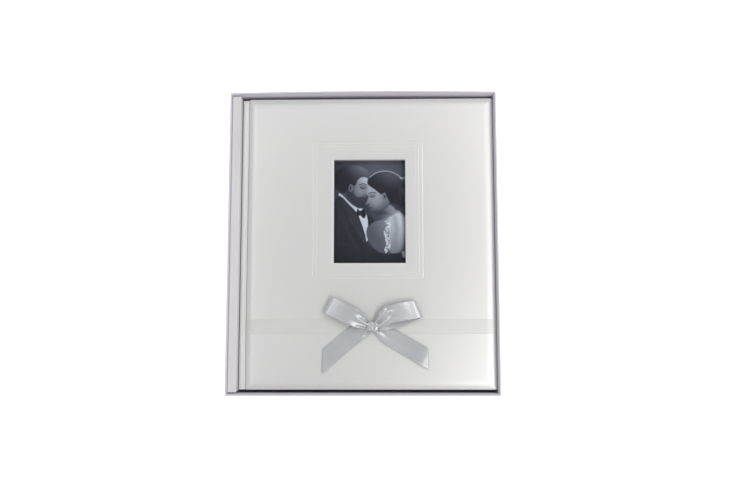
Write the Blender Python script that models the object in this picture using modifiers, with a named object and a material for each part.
"""Padded photo album lying in its open presentation tray, with a card spacer beside the spine.

Units are metres. +Z is up, +X runs from the album's spine to its fore edge, +Y to the head of the cover.
The origin is the centre of the tray's underside. Touching pieces keep FIT between them.
"""

import bmesh
import bpy
from mathutils import Matrix, Vector

# ---------------------------------------------------------------- driving dimensions

FIT = 0.0003                    # clearance between pieces that touch
CUT_PAST = 0.002                # how far a cutter runs past the face it opens

# album
ALBUM_WIDTH = 0.2895            # spine to fore edge
ALBUM_HEIGHT = 0.333            # tail to head
SKIN = 0.0005                   # leatherette
BOARD = 0.0024                  # cover and spine boards
FRONT_FOAM = 0.0045
BACK_FOAM = 0.0030
COVER_CORNER = 0.0042           # rounded corners of the cover in plan
COVER_ROUND = 0.0036            # rounded upper edge of the padded cover, less than its corners
ENDPAPER = 0.0004
ENDPAPER_MARGIN = 0.0040
SPINE_SHOULDER = 0.0065         # width of the spine's covered edge beside the hinge groove
GROOVE = 0.0010                 # gap between the shoulder and the front cover
SHOULDER_DROP = 0.0036          # shoulder below the top of the front cover

# leaves
GROUPS = 5
LEAVES_PER_GROUP = 4
LEAF = 0.0005
LEAF_PITCH = 0.0014
LEAF_SQUARE = 0.0038            # cover edge beyond the leaf edge
STUB_LENGTH = 0.0174            # bound part of a leaf, spine side of its crease
GUARD_LENGTH = 0.0110           # part of the stubs glued up solid with the guard strips between them
CREASE_GAP = 0.0025             # from the crease to the turning part of the leaf
MULL = 0.0003
HEADBAND_RADIUS = 0.0010
HEADBAND_SIDES = 16

# picture window
WINDOW_WIDTH = 0.0815
WINDOW_HEIGHT = 0.1190
WINDOW_RIGHT = 0.0026           # window centre, right of the cover's centre
WINDOW_UP = 0.0352              # window centre, above the cover's centre
BEZEL = 0.0010                  # lining of the window reveal
PRINT_OVERLAP = 0.0055          # print hidden behind the board on each side
PRINT = 0.0003
PANE = 0.0003
BACKING = 0.0006
POCKET_MARGIN = 0.0030          # backing card beyond the print on each side
PANE_MARGIN = 0.0015            # pane beyond the print on each side

# ribbon and bow
BAND_WIDTH = 0.0160
BAND_ABOVE_TAIL = 0.0705        # band centre, above the cover's lower edge
RIBBON = 0.0004
KNOT_RIGHT = 0.0060             # knot centre, right of the cover's centre
KNOT_SIZE = (0.0112, 0.0116, 0.0066)
BOW_RIBBON = 0.0205
BOW_WAIST = 0.0100              # ribbon gathered where it enters the knot
BOW_EDGE = 0.0006               # rounding of the bow's folded edges
LOOP_HEIGHT = 0.0095
TAIL_HEIGHT = 0.0026
LEFT_LOOP = (-0.0505, 0.0236)   # loop and tail ends, from the knot
RIGHT_LOOP = (0.0520, 0.0190)
LEFT_TAIL = (-0.0555, -0.0392)
RIGHT_TAIL = (0.0620, -0.0392)

# tray
TRAY_BOARD = 0.0012
FLOOR_BOARD = 0.0014
TRAY_PAPER = 0.0003
BASE_PAPER = 0.0004
RIM_ABOVE_COVER = 0.0066
SIDE_ROOM = 0.0009              # album to spacer, and album to fore-edge wall
END_ROOM = 0.0036               # album to head and tail walls
SPACER_WIDTH = 0.0096
SPACER_CARD = 0.0008
SPACER_END_ROOM = 0.0014
SPACER_BELOW_RIM = 0.0006

# ---------------------------------------------------------------- places worked out from them

WALL = 2 * TRAY_PAPER + 2 * FIT + TRAY_BOARD
INNER_X = SPACER_WIDTH + FIT + SIDE_ROOM + ALBUM_WIDTH + SIDE_ROOM
INNER_Y = ALBUM_HEIGHT + 2 * END_ROOM
TRAY_X = INNER_X + 2 * WALL
TRAY_Y = INNER_Y + 2 * WALL

SPACER_LEFT = -INNER_X / 2 + FIT
ALBUM_LEFT = SPACER_LEFT + SPACER_WIDTH + SIDE_ROOM
ALBUM_RIGHT = ALBUM_LEFT + ALBUM_WIDTH
ALBUM_CENTRE = (ALBUM_LEFT + ALBUM_RIGHT) / 2
ALBUM_HALF_Y = ALBUM_HEIGHT / 2

Z_FLOOR = BASE_PAPER + FIT
Z_LINER = Z_FLOOR + FLOOR_BOARD + FIT
Z_ALBUM = Z_LINER + TRAY_PAPER + FIT
Z_BACK_FOAM = Z_ALBUM + SKIN + FIT
Z_BACK_BOARD = Z_BACK_FOAM + BACK_FOAM + FIT
Z_BACK_PAPER = Z_BACK_BOARD + BOARD + FIT
Z_LEAVES = Z_BACK_PAPER + ENDPAPER + FIT
LEAF_COUNT = GROUPS * LEAVES_PER_GROUP
Z_FRONT_PAPER = Z_LEAVES + (LEAF_COUNT - 1) * LEAF_PITCH + LEAF + FIT
Z_POCKET = Z_FRONT_PAPER + ENDPAPER + FIT
Z_PRINT = Z_POCKET + BACKING + FIT
Z_PANE = Z_PRINT + PRINT + FIT
Z_FRONT_BOARD = Z_PANE + PANE + FIT
Z_FRONT_FOAM = Z_FRONT_BOARD + BOARD + FIT
Z_COVER_TOP = Z_FRONT_FOAM + FRONT_FOAM + FIT + SKIN
Z_SHOULDER = Z_COVER_TOP - SHOULDER_DROP
Z_RIM = Z_COVER_TOP + RIM_ABOVE_COVER

COVER_LEFT = ALBUM_LEFT + SPINE_SHOULDER + GROOVE
HINGE_X = ALBUM_LEFT + SPINE_SHOULDER + GROOVE / 2
HINGE_Z = Z_SHOULDER + FIT
WINDOW_X = ALBUM_CENTRE + WINDOW_RIGHT
WINDOW_Y = WINDOW_UP
PRINT_HALF_X = WINDOW_WIDTH / 2 + PRINT_OVERLAP
PRINT_HALF_Y = WINDOW_HEIGHT / 2 + PRINT_OVERLAP

SPINE_BOARD_LEFT = ALBUM_LEFT + SKIN + FIT
MULL_LEFT = SPINE_BOARD_LEFT + BOARD + FIT
STUB_LEFT = MULL_LEFT + MULL + FIT
CREASE_X = STUB_LEFT + STUB_LENGTH + FIT
CREASE_Z = Z_FRONT_PAPER
LEAF_RIGHT = ALBUM_RIGHT - LEAF_SQUARE
LEAF_HALF_Y = ALBUM_HALF_Y - LEAF_SQUARE

BAND_Y = BAND_ABOVE_TAIL - ALBUM_HALF_Y
Z_BAND = Z_COVER_TOP + FIT
Z_BOW = Z_BAND + RIBBON + FIT
KNOT_X = ALBUM_CENTRE + KNOT_RIGHT

# ---------------------------------------------------------------- scene, collections, materials

for leftover in list(bpy.data.objects):
    bpy.data.objects.remove(leftover, do_unlink=True)

parts = bpy.data.collections.new("photo_album_in_tray")
cutters = bpy.data.collections.new("cutters")
bpy.context.scene.collection.children.link(parts)
bpy.context.scene.collection.children.link(cutters)


def finish(name, colour, roughness, metallic=0.0, alpha=1.0):
    """A Principled material with one colour."""
    material = bpy.data.materials.new(name)
    material.use_nodes = True
    shader = material.node_tree.nodes["Principled BSDF"]
    shader.inputs["Base Color"].default_value = (*colour, 1.0)
    shader.inputs["Roughness"].default_value = roughness
    shader.inputs["Metallic"].default_value = metallic
    shader.inputs["Alpha"].default_value = alpha
    material.diffuse_color = (*colour, alpha)
    return material


GREYBOARD = finish("greyboard", (0.42, 0.40, 0.36), 0.95)
WRAP_PAPER = finish("wrap_paper", (0.74, 0.73, 0.75), 0.55)
LINING_PAPER = finish("lining_paper", (0.68, 0.66, 0.70), 0.70)
SPACER_STOCK = finish("spacer_card", (0.70, 0.70, 0.70), 0.65)
LEATHERETTE = finish("pearl_leatherette", (0.72, 0.72, 0.69), 0.38)
FOAM = finish("foam", (0.80, 0.79, 0.70), 0.95)
LEAF_CARD = finish("leaf_card", (0.82, 0.79, 0.70), 0.80)
END_SHEET = finish("endpaper", (0.78, 0.77, 0.74), 0.60)
PHOTO_PAPER = finish("photo_paper", (0.06, 0.07, 0.10), 0.25)
CLEAR_FILM = finish("clear_film", (0.90, 0.92, 0.94), 0.05, alpha=0.2)
IVORY_SATIN = finish("ivory_satin", (0.74, 0.74, 0.70), 0.30)
SILVER_SATIN = finish("silver_satin", (0.52, 0.53, 0.54), 0.28)
BINDING_CLOTH = finish("binding_cloth", (0.80, 0.78, 0.72), 0.90)


# ---------------------------------------------------------------- frames that carry the parts

def carrier(name, place, parent=None):
    """An empty at the joint or datum that a group of parts belongs to."""
    empty = bpy.data.objects.new(name, None)
    empty.empty_display_size = 0.02
    parts.objects.link(empty)
    empty["place"] = list(place)
    empty.parent = parent
    own = Vector(place)
    empty.location = own - Vector(parent["place"]) if parent else own
    return empty


tray_datum = carrier("tray_datum", (0.0, 0.0, 0.0))
album_datum = carrier("album_datum", (ALBUM_CENTRE, 0.0, Z_ALBUM), tray_datum)
cover_axis = carrier("cover_axis", (HINGE_X, 0.0, HINGE_Z), album_datum)
leaf_axes = [
    carrier(f"leaf_axis_{group + 1}", (CREASE_X, 0.0, CREASE_Z), album_datum)
    for group in range(GROUPS)
]


# ---------------------------------------------------------------- modelling tools

def add_object(name, bm, centre, material, parent, collection=parts):
    """Turns a bmesh into an object at centre, carried by parent."""
    mesh = bpy.data.meshes.new(name)
    bm.normal_update()
    bm.to_mesh(mesh)
    bm.free()
    made = bpy.data.objects.new(name, mesh)
    collection.objects.link(made)
    if material:
        mesh.materials.append(material)
    made.parent = parent
    made.location = Vector(centre) - Vector(parent["place"])
    return made


def cube_between(bm, low, high, centre):
    """Adds a box between two corners, measured from centre; returns its vertices."""
    size = Vector(high) - Vector(low)
    middle = (Vector(high) + Vector(low)) / 2 - Vector(centre)
    placed = Matrix.Translation(middle) @ Matrix.Diagonal((*size, 1.0))
    return bmesh.ops.create_cube(bm, size=1.0, matrix=placed)["verts"]


def round_over(bm, edges, radius, segments=3):
    """Rounds the given edges."""
    bmesh.ops.bevel(
        bm, geom=list(edges), offset=radius, offset_type="OFFSET",
        segments=segments, profile=0.5, affect="EDGES", clamp_overlap=True,
    )


def block(name, low, high, material, parent, face_round=0.0, corner_round=0.0, face="top"):
    """A box whose upright corners, and edges round its top or bottom face, may be rounded."""
    centre = (Vector(high) + Vector(low)) / 2
    if corner_round > 0.0:
        face_round = min(face_round, corner_round * 0.9)
    bm = bmesh.new()
    cube_between(bm, low, high, centre)
    if corner_round > 0.0:
        upright = [e for e in bm.edges if abs(e.verts[0].co.z - e.verts[1].co.z) > CUT_PAST / 10]
        round_over(bm, upright, corner_round)
    if face_round > 0.0:
        level = (high[2] - low[2]) / 2 * (1 if face == "top" else -1)
        ring = [e for e in bm.edges if all(abs(v.co.z - level) < FIT / 10 for v in e.verts)]
        round_over(bm, ring, face_round)
    return add_object(name, bm, centre, material, parent)


def cut_with(target, cutter):
    """Cuts the cutter's shape out of target and puts the cutter away."""
    parts.objects.unlink(cutter)
    cutters.objects.link(cutter)
    cutter.hide_render = True
    cutter.display_type = "WIRE"
    difference = target.modifiers.new("cut", "BOOLEAN")
    difference.operation = "DIFFERENCE"
    difference.solver = "EXACT"
    difference.object = cutter
    return target


def cut_box(target, low, high, face_round=0.0, corner_round=0.0, face="top"):
    """Cuts a box-shaped space out of target."""
    name = f"cut_{target.name}_{len(target.modifiers) + 1}"
    cutter = block(name, low, high, None, tray_datum, face_round, corner_round, face)
    return cut_with(target, cutter)


def grown(low, high, amount):
    """The two corners of a box grown by amount in X and Y."""
    out = (amount, amount, 0.0)
    return Vector(low) - Vector(out), Vector(high) + Vector(out)


def plan_box(centre_x, centre_y, half_x, half_y, z_low, z_high):
    """Corners of a box given by its plan centre, half sizes and heights."""
    low = (centre_x - half_x, centre_y - half_y, z_low)
    high = (centre_x + half_x, centre_y + half_y, z_high)
    return low, high


# ---------------------------------------------------------------- tray

def mitred_wall(name, low, high, along, inward):
    """A wall board along X or Y whose ends are mitred; inward is +1 or -1 across the board."""
    across = 1 - along
    centre = (Vector(high) + Vector(low)) / 2
    bm = bmesh.new()
    verts = cube_between(bm, low, high, centre)
    for vert in verts:
        end = 1 if vert.co[along] > 0 else -1
        vert.co[along] -= end * FIT * 0.75
        if vert.co[across] * inward > 0:
            vert.co[along] -= end * TRAY_BOARD
    return add_object(name, bm, centre, GREYBOARD, tray_datum)


def make_tray():
    """Floor, four mitred walls, base paper, covering paper and lining."""
    half_x = TRAY_X / 2
    half_y = TRAY_Y / 2
    skin = TRAY_PAPER + FIT
    board_x = half_x - skin
    board_y = half_y - skin
    wall_low = Z_FLOOR
    wall_high = Z_RIM - skin
    block("base_paper", *plan_box(0, 0, half_x, half_y, 0.0, BASE_PAPER), WRAP_PAPER, tray_datum)

    floor_x = board_x - TRAY_BOARD - FIT
    floor_y = board_y - TRAY_BOARD - FIT
    floor_top = Z_FLOOR + FLOOR_BOARD
    block("box_floor", *plan_box(0, 0, floor_x, floor_y, Z_FLOOR, floor_top), GREYBOARD, tray_datum)

    inside_x = board_x - TRAY_BOARD
    inside_y = board_y - TRAY_BOARD
    mitred_wall("box_wall_back", (-board_x, inside_y, wall_low), (board_x, board_y, wall_high), 0, -1)
    mitred_wall("box_wall_front", (-board_x, -board_y, wall_low), (board_x, -inside_y, wall_high), 0, 1)
    mitred_wall("box_wall_left", (-board_x, -board_y, wall_low), (-inside_x, board_y, wall_high), 1, 1)
    mitred_wall("box_wall_right", (inside_x, -board_y, wall_low), (board_x, board_y, wall_high), 1, -1)

    wrap = block("box_wrap", *plan_box(0, 0, half_x, half_y, BASE_PAPER + FIT, Z_RIM), WRAP_PAPER, tray_datum)
    turn_in = WALL - TRAY_PAPER
    open_x = half_x - turn_in
    open_y = half_y - turn_in
    cut_box(wrap, *plan_box(0, 0, open_x, open_y, -CUT_PAST, Z_RIM + CUT_PAST))
    hollow_x = half_x - TRAY_PAPER
    hollow_y = half_y - TRAY_PAPER
    cut_box(wrap, *plan_box(0, 0, hollow_x, hollow_y, -CUT_PAST, Z_RIM - TRAY_PAPER))

    lining_x = INNER_X / 2 + TRAY_PAPER
    lining_y = INNER_Y / 2 + TRAY_PAPER
    lining_top = Z_RIM - skin
    sheet = plan_box(0, 0, lining_x, lining_y, Z_LINER, lining_top)
    lining = block("box_lining", *sheet, LINING_PAPER, tray_datum)
    inner = plan_box(0, 0, INNER_X / 2, INNER_Y / 2, Z_LINER + TRAY_PAPER, Z_RIM + CUT_PAST)
    cut_box(lining, *inner)


def make_spacer():
    """Folded card channel, open underneath, that takes up the width beside the spine."""
    half_y = INNER_Y / 2 - SPACER_END_ROOM
    top = Z_RIM - SPACER_BELOW_RIM
    low = (SPACER_LEFT, -half_y, Z_ALBUM)
    high = (SPACER_LEFT + SPACER_WIDTH, half_y, top)
    spacer = block("spine_spacer", low, high, SPACER_STOCK, tray_datum, face_round=SPACER_CARD)
    inner_low, inner_high = grown(low, high, -SPACER_CARD)
    inner_low.z = Z_ALBUM - CUT_PAST
    inner_high.z = top - SPACER_CARD
    cut_box(spacer, inner_low, inner_high)


# ---------------------------------------------------------------- album: back cover, spine, block

def make_back_cover():
    """Skin, foam, board and endpaper of the lower cover."""
    low = (COVER_LEFT, -ALBUM_HALF_Y, Z_ALBUM)
    high = (ALBUM_RIGHT, ALBUM_HALF_Y, Z_BACK_BOARD + BOARD)
    skin_round = BACK_FOAM
    skin = block(
        "back_cover_skin", low, high, LEATHERETTE, album_datum, skin_round, COVER_CORNER, "bottom")
    inner_low, inner_high = grown(low, high, -SKIN)
    inner_low.z = Z_ALBUM + SKIN
    inner_high.z = high[2] + CUT_PAST
    cut_box(skin, inner_low, inner_high, skin_round - SKIN, COVER_CORNER - SKIN, "bottom")

    inset = SKIN + FIT
    corner = COVER_CORNER - inset
    foam_low, foam_high = grown(low, high, -inset)
    foam_low.z = Z_BACK_FOAM
    foam_high.z = Z_BACK_FOAM + BACK_FOAM
    block("back_foam", foam_low, foam_high, FOAM, album_datum, skin_round - inset, corner, "bottom")
    board_low, board_high = grown(low, high, -inset)
    board_low.z = Z_BACK_BOARD
    board_high.z = Z_BACK_BOARD + BOARD
    block("back_board", board_low, board_high, GREYBOARD, album_datum, corner_round=corner)
    paper_low, paper_high = grown(low, high, -ENDPAPER_MARGIN)
    paper_low.z = Z_BACK_PAPER
    paper_high.z = Z_BACK_PAPER + ENDPAPER
    block("back_endpaper", paper_low, paper_high, END_SHEET, album_datum)


def make_spine():
    """Spine board inside a C-shaped skin that ends at the two hinge grooves."""
    shoulder_right = ALBUM_LEFT + SPINE_SHOULDER
    low = (ALBUM_LEFT, -ALBUM_HALF_Y, Z_ALBUM)
    high = (shoulder_right, ALBUM_HALF_Y, Z_SHOULDER)
    skin = block("spine_skin", low, high, LEATHERETTE, album_datum)
    inner_low = (ALBUM_LEFT + SKIN, -ALBUM_HALF_Y - CUT_PAST, Z_ALBUM + SKIN)
    inner_high = (shoulder_right + CUT_PAST, ALBUM_HALF_Y + CUT_PAST, Z_SHOULDER - SKIN)
    cut_box(skin, inner_low, inner_high)

    edge = SKIN + FIT
    board_half_y = ALBUM_HALF_Y - edge
    board_low = (SPINE_BOARD_LEFT, -board_half_y, Z_ALBUM + edge)
    board_high = (SPINE_BOARD_LEFT + BOARD, board_half_y, Z_SHOULDER - edge)
    block("spine_board", board_low, board_high, GREYBOARD, album_datum)

    block_top = Z_FRONT_PAPER - FIT
    mull_low = (MULL_LEFT, -LEAF_HALF_Y, Z_LEAVES)
    mull_high = (MULL_LEFT + MULL, LEAF_HALF_Y, block_top)
    block("mull", mull_low, mull_high, BINDING_CLOTH, album_datum)

    for name, side in (("headband_head", 1), ("headband_tail", -1)):
        height = block_top - Z_LEAVES
        centre = Vector((
            STUB_LEFT + HEADBAND_RADIUS,
            side * (LEAF_HALF_Y + FIT + HEADBAND_RADIUS),
            (block_top + Z_LEAVES) / 2,
        ))
        bm = bmesh.new()
        bmesh.ops.create_cone(
            bm, cap_ends=True, segments=HEADBAND_SIDES,
            radius1=HEADBAND_RADIUS, radius2=HEADBAND_RADIUS, depth=height)
        band = add_object(name, bm, centre, BINDING_CLOTH, album_datum)
        band.data.shade_smooth()
        band.data.set_sharp_from_angle(angle=0.7)


def leaf_level(index):
    """Underside of a leaf, counted from the back of the book."""
    return Z_LEAVES + index * LEAF_PITCH


def make_block():
    """Glued-up stubs that part before the crease, and the turning part of every leaf."""
    top = leaf_level(LEAF_COUNT - 1) + LEAF
    low = (STUB_LEFT, -LEAF_HALF_Y, Z_LEAVES)
    high = (STUB_LEFT + STUB_LENGTH, LEAF_HALF_Y, top)
    stubs = block("bound_stubs", low, high, LEAF_CARD, album_datum)
    bm = bmesh.new()
    for index in range(LEAF_COUNT - 1):
        slot_low = (STUB_LEFT + GUARD_LENGTH, -LEAF_HALF_Y - CUT_PAST, leaf_level(index) + LEAF)
        slot_high = (high[0] + CUT_PAST, LEAF_HALF_Y + CUT_PAST, leaf_level(index + 1))
        cube_between(bm, slot_low, slot_high, low)
    cut_with(stubs, add_object("cut_stub_slots", bm, low, None, tray_datum))

    for index in range(LEAF_COUNT):
        level = leaf_level(index)
        low = (CREASE_X + CREASE_GAP, -LEAF_HALF_Y, level)
        high = (LEAF_RIGHT, LEAF_HALF_Y, level + LEAF)
        group = index // LEAVES_PER_GROUP
        block(f"leaf_{index + 1:02d}", low, high, LEAF_CARD, leaf_axes[group])


# ---------------------------------------------------------------- album: front cover

def cut_window(target, clearance):
    """Cuts the window, larger all round by clearance, right through target."""
    half_x = WINDOW_WIDTH / 2 + clearance
    half_y = WINDOW_HEIGHT / 2 + clearance
    high = Z_COVER_TOP + CUT_PAST
    return cut_box(target, *plan_box(WINDOW_X, WINDOW_Y, half_x, half_y, Z_FRONT_PAPER, high))


def make_front_cover():
    """Skin, foam, board, pocket card and endpaper of the upper cover."""
    low = (COVER_LEFT, -ALBUM_HALF_Y, Z_POCKET)
    high = (ALBUM_RIGHT, ALBUM_HALF_Y, Z_COVER_TOP)
    reveal = BEZEL + FIT
    inset = SKIN + FIT
    corner = COVER_CORNER - inset

    skin = block(
        "front_cover_skin", low, high, LEATHERETTE, cover_axis, COVER_ROUND, COVER_CORNER)
    inner_low, inner_high = grown(low, high, -SKIN)
    inner_low.z = Z_POCKET - CUT_PAST
    inner_high.z = Z_COVER_TOP - SKIN
    cut_box(skin, inner_low, inner_high, COVER_ROUND - SKIN, COVER_CORNER - SKIN)
    cut_window(skin, reveal)

    foam_low, foam_high = grown(low, high, -inset)
    foam_low.z = Z_FRONT_FOAM
    foam_high.z = Z_FRONT_FOAM + FRONT_FOAM
    foam = block(
        "front_foam", foam_low, foam_high, FOAM, cover_axis, COVER_ROUND - inset, corner)
    cut_window(foam, reveal)

    board_low, board_high = grown(low, high, -inset)
    board_low.z = Z_FRONT_BOARD
    board_high.z = Z_FRONT_BOARD + BOARD
    board = block("front_board", board_low, board_high, GREYBOARD, cover_axis, corner_round=corner)
    cut_window(board, reveal)

    card_low, card_high = grown(low, high, -inset)
    card_high.z = Z_FRONT_BOARD - FIT
    card = block("pocket_card", card_low, card_high, GREYBOARD, cover_axis, corner_round=corner)
    pocket_x = PRINT_HALF_X + POCKET_MARGIN + FIT
    pocket_y = PRINT_HALF_Y + POCKET_MARGIN + FIT
    pocket = plan_box(WINDOW_X, WINDOW_Y, pocket_x, pocket_y, Z_FRONT_PAPER, Z_COVER_TOP)
    cut_box(card, *pocket)

    paper_low, paper_high = grown(low, high, -ENDPAPER_MARGIN)
    paper_low.z = Z_FRONT_PAPER
    paper_high.z = Z_FRONT_PAPER + ENDPAPER
    block("front_endpaper", paper_low, paper_high, END_SHEET, cover_axis)


def make_window():
    """Backing, print and pane in the pocket, and the lining of the window reveal."""
    backing_x = PRINT_HALF_X + POCKET_MARGIN
    backing_y = PRINT_HALF_Y + POCKET_MARGIN
    backing = plan_box(WINDOW_X, WINDOW_Y, backing_x, backing_y, Z_POCKET, Z_POCKET + BACKING)
    block("print_backing", *backing, GREYBOARD, cover_axis)
    picture = plan_box(WINDOW_X, WINDOW_Y, PRINT_HALF_X, PRINT_HALF_Y, Z_PRINT, Z_PRINT + PRINT)
    block("photo_print", *picture, PHOTO_PAPER, cover_axis)
    pane_x = PRINT_HALF_X + PANE_MARGIN
    pane_y = PRINT_HALF_Y + PANE_MARGIN
    pane = plan_box(WINDOW_X, WINDOW_Y, pane_x, pane_y, Z_PANE, Z_PANE + PANE)
    block("window_pane", *pane, CLEAR_FILM, cover_axis)

    half_x = WINDOW_WIDTH / 2
    half_y = WINDOW_HEIGHT / 2
    outer = plan_box(WINDOW_X, WINDOW_Y, half_x + BEZEL, half_y + BEZEL, Z_FRONT_BOARD, Z_COVER_TOP)
    bezel = block("window_bezel", *outer, LEATHERETTE, cover_axis)
    through = (Z_FRONT_BOARD - CUT_PAST, Z_COVER_TOP + CUT_PAST)
    cut_box(bezel, *plan_box(WINDOW_X, WINDOW_Y, half_x, half_y, *through))


# ---------------------------------------------------------------- ribbon and bow

def make_band():
    """Satin band glued across the cover, from the groove to the fore edge."""
    low = (COVER_LEFT + COVER_ROUND, BAND_Y - BAND_WIDTH / 2, Z_BAND)
    high = (ALBUM_RIGHT - COVER_ROUND, BAND_Y + BAND_WIDTH / 2, Z_BAND + RIBBON)
    block("ribbon_band", low, high, IVORY_SATIN, cover_axis)


def ribbon_lobe(name, tip, stations, base, cut_upright=False):
    """A soft closed form along a straight run from the knot to tip.

    Each station is (share of the run, half width, underside above base, thickness).
    A ribbon end that is cut upright ends along Y instead of square to the run."""
    run = Vector((tip[0], tip[1], 0.0))
    along = run.normalized()
    side = Vector((-along.y, along.x, 0.0))
    knot = Vector((KNOT_X, BAND_Y, base))
    bm = bmesh.new()
    rings = []
    for share, half_width, lift, thickness in stations:
        skew = side.x / along.x if cut_upright and share == 1.0 else 0.0
        corners = []
        for across, height in ((-1, 0), (1, 0), (1, 1), (-1, 1)):
            up = Vector((0.0, 0.0, lift + height * thickness))
            offset = (side - along * skew) * across * half_width
            corners.append(bm.verts.new(run * share + offset + up))
        rings.append(corners)
    for first, second in zip(rings, rings[1:]):
        for k in range(4):
            follow = (k + 1) % 4
            bm.faces.new((first[k], second[k], second[follow], first[follow]))
    bm.faces.new(rings[0])
    bm.faces.new(tuple(reversed(rings[-1])))
    bmesh.ops.recalc_face_normals(bm, faces=bm.faces)
    return round_folds(add_object(name, bm, knot, SILVER_SATIN, cover_axis), BOW_EDGE)


def knot_exit(tip):
    """Share of the run from the knot to tip at which the gathered ribbon is clear of the knot."""
    run = Vector(tip)
    lean = abs(run.y) / run.length
    forward = abs(run.x) / run.length
    clear = KNOT_SIZE[0] / 2 + FIT + BOW_WAIST / 2 * lean
    return clear / forward / run.length


def round_folds(target, width):
    """Rounds every sharp edge."""
    bevel = target.modifiers.new("round", "BEVEL")
    bevel.width = width
    bevel.segments = 2
    target.data.shade_smooth()
    return target


def make_bow():
    """Two loops, two tails and the knot that gathers them."""
    half = BOW_RIBBON / 2
    waist = BOW_WAIST / 2
    rise = TAIL_HEIGHT + FIT
    for name, tip in (("bow_loop_left", LEFT_LOOP), ("bow_loop_right", RIGHT_LOOP)):
        loop = (
            (knot_exit(tip), waist, rise, LOOP_HEIGHT * 0.40),
            (0.38, half * 0.93, rise, LOOP_HEIGHT * 0.80),
            (0.60, half, rise, LOOP_HEIGHT),
            (0.85, half, rise, LOOP_HEIGHT * 0.92),
            (1.0, half * 0.98, rise + LOOP_HEIGHT * 0.15, LOOP_HEIGHT * 0.55),
        )
        ribbon_lobe(name, tip, loop, Z_BOW)
    for name, tip in (("bow_tail_left", LEFT_TAIL), ("bow_tail_right", RIGHT_TAIL)):
        tail = (
            (knot_exit(tip), waist, 0.0, TAIL_HEIGHT),
            (0.38, half * 0.95, 0.0, TAIL_HEIGHT),
            (0.72, half, 0.0, TAIL_HEIGHT),
            (1.0, half, 0.0, TAIL_HEIGHT * 0.7),
        )
        ribbon_lobe(name, tip, tail, Z_BOW, cut_upright=True)

    half_size = Vector(KNOT_SIZE) / 2
    centre = Vector((KNOT_X, BAND_Y, Z_BOW + half_size.z))
    knot = block("bow_knot", centre - half_size, centre + half_size, SILVER_SATIN, cover_axis)
    round_folds(knot, half_size.x * 0.45)


make_tray()
make_spacer()
make_back_cover()
make_spine()
make_block()
make_front_cover()
make_window()
make_band()
make_bow()
